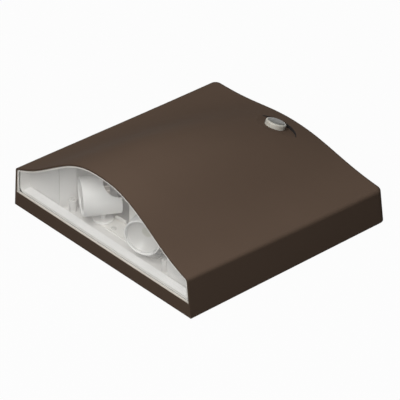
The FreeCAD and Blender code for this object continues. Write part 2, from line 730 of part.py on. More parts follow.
def cup_curve(offset, steps=5):
    """Points down the reflector's parabola from its mouth to its throat."""
    front = GLASS_SETBACK + GLASS_THICK + LEDGE_THICK - SLEEVE_FRONT
    mouth = SLEEVE_R - SLEEVE_WALL - CUP_WALL - RUNNING_GAP
    points = []
    for i in range(steps + 1):
        radius = mouth + (CUP_THROAT_R - mouth) * i / steps
        share = (mouth * mouth - radius * radius) / (mouth * mouth - CUP_THROAT_R ** 2)
        points.append((radius + offset, front + (CUP_BACK - front) * share))
    return points


def head_reflector():
    return turned(cup_curve(0.0) + list(reversed(cup_curve(CUP_WALL))))


def led_board():
    plate = cylinder(LED_BOARD_R, V(0, CUP_BACK, 0), V(0, CUP_BACK + LED_BOARD_THICK, 0))
    chip = cylinder(LED_CHIP_R, V(0, CUP_BACK - LED_CHIP_THICK, 0), V(0, CUP_BACK, 0))
    return fuse([plate, chip])


def heat_sink():
    """Finned disc behind the lamp's board, with a two-armed yoke for the tilt pin."""
    front = CUP_BACK + LED_BOARD_THICK
    back = front + SINK_BASE_THICK
    radius = SLEEVE_R - SLEEVE_WALL - SINK_GAP
    can = cylinder(radius, V(0, front, 0), V(0, SINK_FIN_END, 0))
    pieces = [cylinder(radius, V(0, front, 0), V(0, back, 0))]
    for x in SINK_FIN_X:
        fin = box(x, x + SINK_FIN_THICK, back, SINK_FIN_END, -radius, radius).common(can)
        pieces.extend(both_sides(fin))
    inner = EYE_HALF + YOKE_GAP
    arm = fuse([box(inner, inner + YOKE_THICK, back, 0, -YOKE_R, YOKE_R),
                cylinder(YOKE_R, V(inner, 0, 0), V(inner + YOKE_THICK, 0, 0))])
    pieces.extend(both_sides(arm))
    return fuse(pieces).cut(cylinder(PIN_R, V(-SLEEVE_R, 0, 0), V(SLEEVE_R, 0, 0)))


def tilt_pin():
    reach = EYE_HALF + YOKE_GAP + YOKE_THICK + PIN_PROUD
    return cylinder(PIN_R, V(-reach, 0, 0), V(reach, 0, 0))


def swivel_post():
    """Disc on the bracket's foot, stem up to the tilt pin and spigot down through it."""
    low = FOOT_TOP + DISC_GAP - HEAD_Z
    under = TRAY_FLOOR_Z - HEAD_Z
    disc = cylinder(DISC_R, V(0, 0, low), V(0, 0, low + DISC_THICK))
    disc = disc.makeChamfer(DISC_THICK / 4, edges_where(
        disc, lambda m, d: m.z > low + DISC_THICK - 0.01))
    post = fuse([disc, cylinder(STEM_R, V(0, 0, low), V(0, 0, 0)),
                 cylinder(SWIVEL_EYE_R, V(-EYE_HALF, 0, 0), V(EYE_HALF, 0, 0)),
                 cylinder(SPIGOT_R, V(0, 0, under - SPIGOT_END), V(0, 0, low))])
    return post.cut(cylinder(PIN_R + RUNNING_GAP, V(-SLEEVE_R, 0, 0), V(SLEEVE_R, 0, 0)))


def swivel_nut():
    top = TRAY_FLOOR_Z - DISC_GAP - HEAD_Z
    nut = hexagon(SWIVEL_NUT_AF, SWIVEL_NUT_THICK)
    nut = nut.cut(cylinder(SPIGOT_R, V(0, 0, 0), V(0, 0, SWIVEL_NUT_THICK)))
    nut.translate(V(0, 0, top - SWIVEL_NUT_THICK))
    return nut


# ---- Electrical parts ---------------------------------------------------------------
def battery_pack():
    """Cells side by side in one shrunk film, lying on the back plate."""
    radius = CELL_R + FILM
    pieces = []
    y = from_mouth(PACK_Y)
    z = PLATE_TOP + radius
    span = 2 * CELL_R * (CELLS - 1)
    for i in range(CELLS):
        x = PACK_X - span / 2 + 2 * CELL_R * i
        pieces.append(cylinder(radius, V(x, y - CELL_LENGTH / 2, z), V(x, y + CELL_LENGTH / 2, z)))
    pieces.append(box(PACK_X - span / 2, PACK_X + span / 2, y - CELL_LENGTH / 2,
                      y + CELL_LENGTH / 2, PLATE_TOP + radius / 2, PLATE_TOP + radius * 1.5))
    return fuse(pieces)


def battery_strap():
    """Bent strip over the pack, with an ear on the plate at each end."""
    radius = CELL_R + FILM
    y = from_mouth(PACK_Y)
    top = PLATE_TOP + 2 * radius
    reach = CELL_R * (CELLS - 1) + radius
    legs = []
    for side in (-1, 1):
        inner = PACK_X + side * reach
        outer = inner + side * STRAP_THICK
        foot = inner + side * STRAP_EAR
        legs.append(box(min(inner, outer), max(inner, outer), y - STRAP_WIDTH / 2,
                        y + STRAP_WIDTH / 2, PLATE_TOP, top + STRAP_THICK))
        ear = box(min(inner, foot), max(inner, foot), y - STRAP_WIDTH / 2,
                  y + STRAP_WIDTH / 2, PLATE_TOP, PLATE_TOP + STRAP_THICK)
        middle = (outer + foot) / 2
        legs.append(ear.cut(cylinder(SMALL_SCREW_R, V(middle, y, 0), V(middle, y, TALL))))
    bridge = box(PACK_X - reach, PACK_X + reach, y - STRAP_WIDTH / 2, y + STRAP_WIDTH / 2,
                 top, top + STRAP_THICK)
    return fuse([bridge] + legs)


def strap_screws():
    radius = CELL_R + FILM
    y = from_mouth(PACK_Y)
    reach = CELL_R * (CELLS - 1) + radius
    middle = (STRAP_THICK + STRAP_EAR) / 2 + reach
    seat = PLATE_TOP + STRAP_THICK
    return Part.makeCompound([pan_head_screw(PACK_X + side * middle, y, seat, STRAP_THICK)
                              for side in (-1, 1)])


def lamp_driver():
    """Sealed supply case with a screw ear at each end."""
    length, width, height = DRIVER_SIZE
    y = from_mouth(DRIVER_Y)
    case = rounded_box(DRIVER_X - length / 2, DRIVER_X + length / 2, y - width / 2,
                       y + width / 2, PLATE_TOP, PLATE_TOP + height, DRIVER_EDGE_R)
    reach = length / 2 + DRIVER_EAR
    ears = rounded_box(DRIVER_X - reach, DRIVER_X + reach, y - width / 4, y + width / 4,
                       PLATE_TOP, PLATE_TOP + DRIVER_EAR_THICK, DRIVER_EDGE_R)
    body = fuse([case, ears])
    for side in (-1, 1):
        x = DRIVER_X + side * (reach - DRIVER_EAR / 2)
        body = body.cut(cylinder(SMALL_SCREW_R, V(x, y, 0), V(x, y, TALL)))
    return body


def driver_screws():
    reach = DRIVER_SIZE[0] / 2 + DRIVER_EAR / 2
    y = from_mouth(DRIVER_Y)
    seat = PLATE_TOP + DRIVER_EAR_THICK
    return Part.makeCompound([pan_head_screw(DRIVER_X + side * reach, y, seat, DRIVER_EAR_THICK)
                              for side in (-1, 1)])


def board_holes():
    dx = BOARD_SIZE[0] / 2 - BOARD_HOLE_INSET
    dy = BOARD_SIZE[1] / 2 - BOARD_HOLE_INSET
    y = from_mouth(BOARD_Y)
    return [(BOARD_X + sx * dx, y + sy * dy) for sx in (-1, 1) for sy in (-1, 1)]


def control_board():
    length, width, thick = BOARD_SIZE
    low = PLATE_TOP + BOARD_POST_HEIGHT
    y = from_mouth(BOARD_Y)
    board = rounded_box(BOARD_X - length / 2, BOARD_X + length / 2, y - width / 2,
                        y + width / 2, low, low + thick, BOARD_HOLE_INSET / 2)
    for x, hole_y in board_holes():
        board = board.cut(cylinder(SMALL_SCREW_R, V(x, hole_y, 0), V(x, hole_y, TALL)))
    return board


def board_parts():
    """Transformer, relay and three capacitors soldered on the board."""
    seat = PLATE_TOP + BOARD_POST_HEIGHT + BOARD_SIZE[2]
    y = from_mouth(BOARD_Y)
    core = box(BOARD_X - 32, BOARD_X - 6, y - 12, y + 12, seat, seat + 20)
    coil = rounded_box(BOARD_X - 28, BOARD_X - 10, y - 17, y + 17, seat + 3, seat + 17, 4.0)
    relay = rounded_box(BOARD_X + 14, BOARD_X + 33, y - 22, y - 7, seat, seat + 15, 1.0)
    cans = []
    for x, size in ((4, 5.0), (18, 6.5), (34, 5.0)):
        can = cylinder(size, V(BOARD_X + x, y + 14, seat), V(BOARD_X + x, y + 14, seat + 3 * size))
        cans.append(can)
    return Part.makeCompound([fuse([core, coil]), relay] + cans)


def board_posts():
    posts = []
    top = PLATE_TOP + BOARD_POST_HEIGHT
    for x, y in board_holes():
        post = cylinder(BOARD_POST_R, V(x, y, PLATE_TOP), V(x, y, top))
        posts.append(post.cut(cylinder(SMALL_SCREW_R, V(x, y, 0), V(x, y, TALL))))
    return Part.makeCompound(posts)


def board_screws():
    seat = PLATE_TOP + BOARD_POST_HEIGHT + BOARD_SIZE[2]
    return Part.makeCompound([pan_head_screw(x, y, seat, SCREW_ENGAGE)
                              for x, y in board_holes()])


def terminal_block():
    """Three-way block for the supply leads, with its clamping wells."""
    length, width, height = TERMINAL_SIZE
    y = from_mouth(TERMINAL_Y)
    block = rounded_box(TERMINAL_X - length / 2, TERMINAL_X + length / 2, y - width / 2,
                        y + width / 2, PLATE_TOP, PLATE_TOP + height, 1.5)
    pitch = length / TERMINAL_WAYS
    top = PLATE_TOP + height
    for i in range(TERMINAL_WAYS):
        x = TERMINAL_X + pitch * (i - (TERMINAL_WAYS - 1) / 2)
        block = block.cut(cylinder(pitch / 4, V(x, y, top - height / 3), V(x, y, top + 1)))
        block = block.cut(cylinder(pitch / 5, V(x, y - width, PLATE_TOP + height / 3),
                                   V(x, y - width / 4, PLATE_TOP + height / 3)))
    return block


def earth_screw():
    y = from_mouth(EARTH_Y)
    head = hexagon(2 * EARTH_HEAD_R, EARTH_HEAD_THICK)
    head.translate(V(EARTH_X, y, PLATE_TOP))
    return head


# ---- Write every piece as its own node ----------------------------------------------
save(front_cover(), "front_cover")
save(lens(), "lens")
save(lens_seal(), "lens_seal")
save(photocell_cap(), "photocell_cap")
save(photocell_body(), "photocell_body")
save(photocell_nut(), "photocell_nut")
save(back_plate(), "back_plate")
save(cover_screws(), "cover_screws")
save(wall_seal(), "wall_seal")
save(rim_seal(), "rim_seal")
save(entry_grommet(), "entry_grommet")
save(reflector_tray(), "reflector_tray")
save(tray_standoffs(), "tray_standoffs")
save(tray_screws(), "tray_screws")
save(head_bracket(), "head_bracket")
save(bracket_screws(), "bracket_screws")
save(battery_pack(), "battery_pack")
save(battery_strap(), "battery_strap")
save(strap_screws(), "strap_screws")
save(lamp_driver(), "lamp_driver")
save(driver_screws(), "driver_screws")
save(control_board(), "control_board")
save(board_parts(), "board_parts")
save(board_posts(), "board_posts")
save(board_screws(), "board_screws")
save(terminal_block(), "terminal_block")
save(earth_screw(), "earth_screw")
for side, name in ((-1, "left"), (1, "right")):
    save(placed(swivel_post(), swivel_frame(side)), name + "_swivel_post")
    save(placed(swivel_nut(), swivel_frame(side)), name + "_swivel_nut")
    save(head_sleeve(side), name + "_head_sleeve")
    save(placed(head_glass(), head_frame(side)), name + "_head_glass")
    save(placed(head_reflector(), head_frame(side)), name + "_head_reflector")
    save(placed(led_board(), head_frame(side)), name + "_led_board")
    save(placed(heat_sink(), head_frame(side)), name + "_heat_sink")
    save(placed(tilt_pin(), head_frame(side)), name + "_tilt_pin")
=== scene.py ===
# %% [markdown]
# # A wave-shaped wall pack light
#
# This scene dresses a light that hangs on an outside wall over a door or a yard. Its cast cover
# rises to a crest in the middle like a wave. The clear arch at one end lets out the light of two
# small lamp heads, which stand in a white tray and can each be aimed. A round button near the
# other end is the window of a photocell, which switches the light on at dusk.
#
# The solids come from the CAD frame. This script gives each of them a finish, adds a few small
# pieces that are too fine for the frame, and then sets the camera and the lamps.
#
# Here the light lies on its back, as the photo shows it.

import math

import bmesh
import bpy
from mathutils import Matrix, Vector


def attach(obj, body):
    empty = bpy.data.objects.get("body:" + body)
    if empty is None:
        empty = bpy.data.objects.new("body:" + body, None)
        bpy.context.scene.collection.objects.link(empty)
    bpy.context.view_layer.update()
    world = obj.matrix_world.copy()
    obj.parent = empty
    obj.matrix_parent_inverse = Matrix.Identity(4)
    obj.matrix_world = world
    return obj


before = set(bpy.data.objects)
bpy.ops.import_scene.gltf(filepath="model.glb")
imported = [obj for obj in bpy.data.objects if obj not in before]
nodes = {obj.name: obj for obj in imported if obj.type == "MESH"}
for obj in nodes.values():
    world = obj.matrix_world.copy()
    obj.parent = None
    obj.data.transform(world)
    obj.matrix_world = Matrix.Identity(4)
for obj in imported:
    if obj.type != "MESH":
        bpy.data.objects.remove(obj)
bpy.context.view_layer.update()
print("solids in the frame:", len(nodes))

# %% [markdown]
# ## Small helpers
#
# Blender works in metres and in linear light. The pieces below are written in millimetres, and
# colours as they look on a screen, so both are converted in one place.

# %% Units and colours
MM = 0.001


def linear(code):
    """An sRGB colour such as "8A7C6E" as linear red, green and blue, with a full alpha."""
    values = []
    for i in (0, 2, 4):
        c = int(code[i:i + 2], 16) / 255
        values.append(c / 12.92 if c <= 0.04045 else ((c + 0.055) / 1.055) ** 2.4)
    return (*values, 1.0)


print("mid grey in linear light:", round(linear("808080")[0], 3))

# %% [markdown]
# A material is a small network of nodes. One function adds a node, sets its values and links its
# inputs, so that each material below reads as a short recipe. The frame comes with plain
# materials of its own. They are counted first, so that the prints below count the new ones.

# %% A function that adds one node
PLAIN_MATERIALS = len(bpy.data.materials)


def add(owner, kind, values=None, links=None, **settings):
    """Adds a node to a material or the world. values sets inputs, links joins them to outputs."""
    tree = owner.node_tree
    node = tree.nodes.new(kind)
    for name, value in settings.items():
        setattr(node, name, value)
    for name, value in (values or {}).items():
        node.inputs[name].default_value = value
    for name, socket in (links or {}).items():
        tree.links.new(socket, node.inputs[name])
    return node


def blank(name):
    """A new material with an empty network and its output node."""
    material = bpy.data.materials.new(name)
    material.use_nodes = True
    material.node_tree.nodes.clear()
    return material, add(material, "ShaderNodeOutputMaterial")


def per_mm(material, size):
    """Object coordinates scaled so that one pattern cell is about size millimetres."""
    coords = add(material, "ShaderNodeTexCoord")
    scale = 1 / (size * MM)
    return add(material, "ShaderNodeMapping", {"Scale": (scale, scale, scale)},
               {"Vector": coords.outputs["Object"]})


print("a pattern cell of 2 mm takes a scale of", 1 / (2 * MM))

# %% [markdown]
# ## Coated, moulded and rubber surfaces
#
# Paint, plastic and rubber differ less in kind than in degree. Each is a body colour under a
# surface that is more or less rough. Two faint patterns keep them from looking computed: a wide
# one that shifts the colour a little, as dust and handling do, and a fine one that dents the
# surface, as powder paint or a grained mould does. Pictures of real surfaces could do this too,
# but noise needs no files and fits every shape.

# %% The recipe for opaque finishes
ROUGHNESS_SPREAD = 0.04


def coated(name, code, roughness, grain_mm, grain_depth, drift=0.06, drift_mm=40.0,
           metallic=0.0, coat=0.0, shine=0.5):
    """An opaque finish with a slow colour drift and a fine surface grain."""
    material, output = blank(name)
    wide = add(material, "ShaderNodeTexNoise", {"Scale": 1.0, "Detail": 3.0},
               {"Vector": per_mm(material, drift_mm).outputs["Vector"]})
    shade = add(material, "ShaderNodeMapRange", {"To Min": 1 - drift, "To Max": 1 + drift},
                {"Value": wide.outputs["Fac"]})
    colour = add(material, "ShaderNodeHueSaturation", {"Color": linear(code)},
                 {"Value": shade.outputs["Result"]})
    fine = add(material, "ShaderNodeTexNoise", {"Scale": 1.0, "Detail": 2.0},
               {"Vector": per_mm(material, grain_mm).outputs["Vector"]})
    bump = add(material, "ShaderNodeBump", {"Strength": 1.0, "Distance": grain_depth * MM},
               {"Height": fine.outputs["Fac"]})
    rough = add(material, "ShaderNodeMapRange",
                {"To Min": roughness - ROUGHNESS_SPREAD, "To Max": roughness + ROUGHNESS_SPREAD},
                {"Value": fine.outputs["Fac"]})
    shader = add(material, "ShaderNodeBsdfPrincipled",
                 {"Metallic": metallic, "Coat Weight": coat, "Specular IOR Level": shine},
                 {"Base Color": colour.outputs["Color"], "Roughness": rough.outputs["Result"],
                  "Normal": bump.outputs["Normal"]})
    material.node_tree.links.new(shader.outputs["BSDF"], output.inputs["Surface"])
    return material


print("roughness varies by", ROUGHNESS_SPREAD, "either way")

# %% [markdown]
# The cover is cast aluminium under a dark bronze powder coat. Powder paint is sprayed dry and
# melted on, which leaves a slightly rippled skin. The photo shows hardly any shine on it, so its
# reflection is set low. Its seals are rubber and silicone, and a black strip in the photocell's
# recess is painted shade on the recess's far wall. The back plate is galvanised sheet, and the
# screws are zinc plated steel.

# %% Finishes for the housing
BRONZE = "57483D"
# Powder coat: an even, nearly matt brown with a faint ripple of about a millimetre.
bronze = coated("bronze_powder_coat", BRONZE, 0.7, 1.1, 0.012, drift=0.04, drift_mm=55,
                shine=0.02)
# Closed-cell rubber: dull black with fine pits.
gasket_black = coated("closed_cell_rubber", "1C1C1D", 0.85, 0.8, 0.06)
# Painted shade: a nearly black strip stands in for the shade on the recess's far wall, so that it
# reads as a dark line.
recess_shade_black = coated("painted_recess_shade", "1A1411", 0.9, 0.8, 0.06)
# Moulded silicone: a pale, soft satin.
gasket_beige = coated("silicone_seal", "D8D1C7", 0.6, 1.0, 0.02)
# A pale bead along the pane's edge: nearly white and a little smoother than the moulded seal.
pale_bead_white = coated("pale_edge_bead", "F3EFE8", 0.45, 1.0, 0.02)
# Hot-dip galvanised sheet: grey metal whose shade changes from crystal to crystal.
galvanised = coated("galvanised_sheet", "A9ADB0", 0.42, 2.5, 0.01, drift=0.14, drift_mm=9,
                    metallic=1.0)
# Zinc plate: thin and bright, with a shade that drifts over a few millimetres.
zinc = coated("zinc_plate", "B5B6B4", 0.32, 0.5, 0.006, drift=0.08, drift_mm=3, metallic=1.0)
print("bronze body colour:", [round(v, 3) for v in linear(BRONZE)[:3]])

# %% [markdown]
# The tray and the lamp sleeves are moulded in white plastic. The tray is smoother, because it
# has to throw light forward. The bracket is painted sheet. All of this stands in a white room
# that light fills from every side, so small steps in whiteness tell the pieces apart.

# %% Finishes for what stands behind the lens
# Moulded white plastic: a clean, slightly glossy white.
tray_white = coated("white_tray_plastic", "ECEAE8", 0.32, 0.9, 0.004, drift=0.015)
# The sleeves' plastic: the whitest of the mouldings, a little less glossy.
sleeve_white = coated("white_sleeve_plastic", "FBFAF9", 0.38, 0.6, 0.006, drift=0.01)
# Pale paint on sheet: satin, with a fine orange peel.
bracket_grey = coated("bracket_paint", "F2F0ED", 0.4, 0.8, 0.008, drift=0.03)
# White lacquer on the lamps' boards: a warm white disc deep in each head.
board_white = coated("white_solder_mask", "DAD9CF", 0.4, 0.7, 0.004)
# Painted light: a whiter strip stands in for the light that falls on the ledge behind the pane,
# the brightest strip of the room.
ledge_light_white = coated("painted_ledge_light", "FCFBFB", 0.3, 0.9, 0.003, drift=0.01)
# White coated screws: they nearly vanish against the tray, as in the photo.
screw_white = coated("white_coated_screw", "D9D7D4", 0.35, 0.5, 0.004, drift=0.03)
# Cast alloy under a pale coat: a warm light grey without a metal's mirror.
cast_alloy = coated("cast_heat_sink", "DCD2CA", 0.5, 1.2, 0.02)
# White moulded reflector: the smoothest white, which gives each mouth its bright ring.
reflector_white = coated("white_reflector", "F3F1EF", 0.25, 0.6, 0.002, drift=0.01)
print("finishes so far:", len(bpy.data.materials) - PLAIN_MATERIALS)

# %% [markdown]
# The pieces inside the housing are only seen when the cover is off, but each still has the
# finish of its real material.

# %% Finishes for the inner parts
# Moulded nylon: off-white, satin and slightly grained.
nylon = coated("white_nylon", "CFCEC6", 0.5, 0.8, 0.01)
# Black moulded plastic: dark and half matt.
black_plastic = coated("black_moulding", "202122", 0.48, 0.7, 0.012)
# Turned brass: a warm yellow metal with a narrow highlight.
brass = coated("turned_brass", "C9A45A", 0.25, 0.4, 0.004, metallic=1.0)
# Shrunk film on the battery: a glossy blue that puckers every few millimetres.
film = coated("battery_film", "23406F", 0.22, 6.0, 0.05, coat=0.3)
# Rolled aluminium: a cool grey metal, half bright.
mill_alloy = coated("mill_aluminium", "BFC0C2", 0.34, 1.5, 0.006, metallic=1.0)
# Green lacquer on the circuit board: glossy, and mottled by what lies under it.
solder_mask = coated("green_solder_mask", "1F5A33", 0.3, 1.6, 0.01, drift=0.1, drift_mm=4)
# Green lacquer on the earth screw: marks it among the others.
earth_green = coated("earth_green", "2E8B4A", 0.4, 0.8, 0.006)
print("finishes so far:", len(bpy.data.materials) - PLAIN_MATERIALS)

# %% [markdown]
# ## Clear parts
#
# A pane that is thin and flat hardly bends light: it lets most of it straight through and
# mirrors a little, more at a flat angle. Mixing a transparent and a glossy shader by that share
# gives the same picture as traced glass with far less noise. The mirror is kept to the side where
# light enters, because this kind of pane doesn't bend light inside itself. Polycarbonate has an
# index of refraction of about 1.585 and lamp glass one of about 1.5.

# %% The recipe for a thin clear pane
def pane(name, tint, index, roughness, ripple_mm, ripple_depth):
    """A thin clear pane with a slow ripple, which mirrors by its index of refraction."""
    material, output = blank(name)
    wave = add(material, "ShaderNodeTexNoise", {"Scale": 1.0, "Detail": 1.0},
               {"Vector": per_mm(material, ripple_mm).outputs["Vector"]})
    ripple = add(material, "ShaderNodeBump", {"Strength": 1.0, "Distance": ripple_depth * MM},
                 {"Height": wave.outputs["Fac"]})
    share = add(material, "ShaderNodeFresnel", {"IOR": index},
                {"Normal": ripple.outputs["Normal"]})
    side = add(material, "ShaderNodeNewGeometry")
    entering = add(material, "ShaderNodeMath", {0: 1.0}, {1: side.outputs["Backfacing"]},
                   operation="SUBTRACT")
    entry_share = add(material, "ShaderNodeMath", {},
                      {0: share.outputs["Fac"], 1: entering.outputs[0]}, operation="MULTIPLY")
    through = add(material, "ShaderNodeBsdfTransparent", {"Color": linear(tint)})
    # Blender keeps its glossy shader under the name Anisotropic.
    mirror = add(material, "ShaderNodeBsdfAnisotropic",
                 {"Color": linear("FFFFFF"), "Roughness": roughness},
                 {"Normal": ripple.outputs["Normal"]})
    mix = add(material, "ShaderNodeMixShader", {},
              {0: entry_share.outputs[0], 1: through.outputs["BSDF"], 2: mirror.outputs["BSDF"]})
    material.node_tree.links.new(mix.outputs["Shader"], output.inputs["Surface"])
    return material


# Extruded polycarbonate sheet: clear, with a soft reflection that wavers over a few centimetres.
clear_sheet = pane("clear_polycarbonate", "FCFCFB", 1.585, 0.04, 25.0, 0.02)
# Pressed lamp glass: clear, with a shorter wave from the press.
lamp_glass = pane("lamp_glass", "FAFAFA", 1.5, 0.06, 4.0, 0.05)
print("finishes so far:", len(bpy.data.materials) - PLAIN_MATERIALS)

# %% [markdown]
# The photocell's button is a milky plastic that lets some light in, so it is neither a paint nor
# a clear pane. Subsurface scattering gives it that slightly deep look. The sensor looks out
# through a darker, smoky window on top.

# %% The photocell's two plastics
SPECK_MM, DENT_MM, LIGHT_DEPTH_MM = 1.4, 0.01, 2


def milky(name, code, roughness):
    """A plastic that scatters light under its surface, with a faintly dented skin."""
    material, output = blank(name)
    speck = add(material, "ShaderNodeTexNoise", {"Scale": 1.0, "Detail": 2.0},
                {"Vector": per_mm(material, SPECK_MM).outputs["Vector"]})
    dent = add(material, "ShaderNodeBump", {"Strength": 1.0, "Distance": DENT_MM * MM},
               {"Height": speck.outputs["Fac"]})
    body = add(material, "ShaderNodeBsdfPrincipled",
               {"Base Color": linear(code), "Roughness": roughness, "Subsurface Weight": 0.3,
                "Subsurface Radius": (1.0, 0.9, 0.8), "Subsurface Scale": LIGHT_DEPTH_MM * MM},
               {"Normal": dent.outputs["Normal"]})
    material.node_tree.links.new(body.outputs["BSDF"], output.inputs["Surface"])
    return material


# Milky acrylic: a warm light grey whose shaded side stays soft.
milky_cap = milky("milky_photocell_cap", "BDB9AF", 0.35)
# Smoky acrylic: a darker grey disc with the same depth.
smoky_window = milky("smoky_photocell_window", "74736E", 0.3)
print("finishes so far:", len(bpy.data.materials) - PLAIN_MATERIALS)

# %% [markdown]
# ## Dressing the solids
#
# One table says which solids have which finish. The names in quotes are the CAD's nodes. The
# frame's round faces are made of flat facets, so they are shaded smooth, and only edges that
# turn by more than a set angle stay sharp.

# %% Give each solid its finish
FINISHES = {
    bronze: ["front_cover"],
    clear_sheet: ["lens"],
    gasket_beige: ["lens_seal"],
    gasket_black: ["wall_seal", "rim_seal", "entry_grommet"],
    galvanised: ["back_plate"],
    zinc: ["cover_screws", "strap_screws", "driver_screws", "board_screws", "left_swivel_nut",
           "right_swivel_nut", "left_tilt_pin", "right_tilt_pin"],
    screw_white: ["tray_screws", "bracket_screws"],
    tray_white: ["reflector_tray"],
    bracket_grey: ["head_bracket"],
    sleeve_white: ["left_head_sleeve", "right_head_sleeve", "left_swivel_post",
                   "right_swivel_post"],
    milky_cap: ["photocell_cap"],
    black_plastic: ["photocell_body", "photocell_nut", "board_parts"],
    nylon: ["tray_standoffs", "terminal_block"],
    brass: ["board_posts"],
    film: ["battery_pack"],
    mill_alloy: ["battery_strap", "lamp_driver"],
    solder_mask: ["control_board"],
    earth_green: ["earth_screw"],
    lamp_glass: ["left_head_glass", "right_head_glass"],
    reflector_white: ["left_head_reflector", "right_head_reflector"],
    board_white: ["left_led_board", "right_led_board"],
    cast_alloy: ["left_heat_sink", "right_heat_sink"],
}
SHARP_FROM = math.radians(30)


def smooth(thing):
    """Shade round faces smooth and keep real edges sharp."""
    thing.data.shade_smooth()
    thing.data.set_sharp_from_angle(angle=SHARP_FROM)


for finish, names in FINISHES.items():
    for name in names:
        nodes[name].data.materials.clear()
        nodes[name].data.materials.append(finish)
        smooth(nodes[name])
print("finishes:", len(FINISHES), "solids dressed:", sum(len(v) for v in FINISHES.values()))

# %% [markdown]
# ## Small pieces that the frame leaves out
#
# A few thin pieces show in the photo and are too fine for the frame. Most are meshes made point
# by point in millimetres: one outline is repeated along the piece, and faces join each outline to
# the next. All ride on the housing.

# %% Helpers that make a piece of the housing
def loft_faces(corners, outlines):
    """Faces that join equal outlines one after another, with a cap on the first and the last."""
    faces = []
    for k in range(outlines - 1):
        here, there = k * corners, (k + 1) * corners
        for i in range(corners):
            j = (i + 1) % corners
            faces.append((here + i, here + j, there + j, there + i))
    faces.append(tuple(reversed(range(corners))))
    faces.append(tuple((outlines - 1) * corners + i for i in range(corners)))
    return faces


def housing_piece(name, points, faces, finish, slot_name):
    """A mesh from points in millimetres that moves with the housing."""
    mesh = bpy.data.meshes.new(name)
    mesh.from_pydata([Vector(p) * MM for p in points], [], faces)
    mesh.materials.append(finish)
    thing = bpy.data.objects.new(name, mesh)
    bpy.context.scene.collection.objects.link(thing)
    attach(thing, "housing")
    print(name, "points:", len(points), "faces:", len(faces))
    return thing


print("faces of a box by the same rule:", len(loft_faces(4, 2)))

# %% [markdown]
# The bracket's foot has a low upright edge on each side, which stiffens the sheet behind the
# heads. It is bent up from the foot: the section has a flat leg, a round bend and an upright leg,
# and it is drawn out along the foot. The outer top corner is cut off at a slant.

# %% The bracket's stiffening edges
EDGE_NEAR_X, EDGE_FAR_X = 15.2, 33.0      # along the foot, from the middle outwards
EDGE_Y = -99.4                            # the upright leg's near face
EDGE_FOOT_Z, EDGE_TOP_Z = 21.05, 27.0
EDGE_HEIGHT = EDGE_TOP_Z - EDGE_FOOT_Z
SHEET, BEND_R, BEND_STEPS = 1.5, 2.0, 4   # thickness, and the bend's outer radius
FLAT_LEG, CORNER_CUT = 5.0, 3.0


def edge_section():
    """The bent sheet's outline in y and z, from the flat leg's tip round the bend and back."""
    outer, inner = [], []
    for i in range(BEND_STEPS + 1):
        a = math.radians(90 * i / BEND_STEPS)
        for radius, arc in ((BEND_R, outer), (BEND_R - SHEET, inner)):
            arc.append((EDGE_Y + BEND_R - radius * math.sin(a), BEND_R - radius * math.cos(a)))
    tip = EDGE_Y + FLAT_LEG
    upright = [(EDGE_Y, EDGE_HEIGHT), (EDGE_Y + SHEET, EDGE_HEIGHT)]
    return [(tip, 0.0)] + outer + upright + inner[::-1] + [(tip, SHEET)]


def stiffening_edge(side):
    """Points and faces of one edge; side is -1 for the left and 1 for the right."""
    section = edge_section()
    stations = ((EDGE_NEAR_X, 0.0), (EDGE_FAR_X - CORNER_CUT, 0.0), (EDGE_FAR_X, CORNER_CUT))
    points = []
    for x, cut in stations:
        for y, z in section:
            points.append((side * x, y, EDGE_FOOT_Z + min(z, EDGE_HEIGHT - cut)))
    faces = loft_faces(len(section), len(stations))
    if side > 0:
        faces = [tuple(reversed(f)) for f in faces]
    return points, faces


for side, name in ((-1, "left_bracket_edge"), (1, "right_bracket_edge")):
    smooth(housing_piece(name, *stiffening_edge(side), bracket_grey, "bracket_paint"))

# %% [markdown]
# The photocell's window is a shallow disc on the button. A cylinder would have a hard rim, so a
# turned profile makes it: rings of points that grow smaller as they rise. The button's axis
# leans 25 degrees with the scoop, so the profile is laid out along that axis.

# %% The photocell's window
TILT = math.radians(25)
AXIS = Vector((0, math.sin(TILT), math.cos(TILT)))
ACROSS = Vector((0, math.cos(TILT), -math.sin(TILT)))
BUTTON_TOP = Vector((0, 109.84, 75.89))
RING_POINTS = 48
# Radius of each ring and its height over the button's top.
WINDOW_PROFILE = [(10.2, -0.3), (10.2, 0.1), (9.9, 0.3), (9.0, 0.42), (5.0, 0.5), (1.5, 0.52)]


def turned_points(profile, centre):
    """One ring of points for each radius and height of the profile."""
    points = []
    for radius, height in profile:
        for i in range(RING_POINTS):
            a = math.tau * i / RING_POINTS
            outward = Vector((1, 0, 0)) * math.cos(a) + ACROSS * math.sin(a)
            points.append(centre + radius * outward + height * AXIS)
    return points


window = housing_piece("photocell_window", turned_points(WINDOW_PROFILE, BUTTON_TOP),
                       loft_faces(RING_POINTS, len(WINDOW_PROFILE)), smoky_window,
                       "photocell_window")
smooth(window)

# %% [markdown]
# Round the button the casting has an oval recess. Its far wall lies in shade, and a black strip
# against that wall is painted shade, which reads as a dark crescent behind the button. Its height
# follows the wall, so the wall is measured: a ray goes down on the cover beside the recess at
# each step.

# %% Places and heights in the photocell's recess
BUTTON_HEIGHT = 6.0                          # the button's top over the recess's floor
RECESS_FLOOR = BUTTON_TOP - BUTTON_HEIGHT * AXIS
RECESS_HALF_X, RECESS_HALF_Y = 34.0, 23.0    # half the oval's width and length
RECESS_SHIFT = -5.0                          # the oval's middle lies nearer than the button's
RAY_START = 30                               # height over the floor that the ray comes from


def recess_point(x, y, z):
    """A place given across, along and over the recess's floor."""
    return RECESS_FLOOR + Vector((x, 0, 0)) + y * ACROSS + z * AXIS


def wall_height(x, y):
    """Height of the cover's skin over the recess's floor at this place."""
    start = recess_point(x, y, RAY_START)
    hit, place, _, _ = nodes["front_cover"].ray_cast(start * MM, -AXIS)
    return (place / MM - RECESS_FLOOR).dot(AXIS) if hit else 0.0


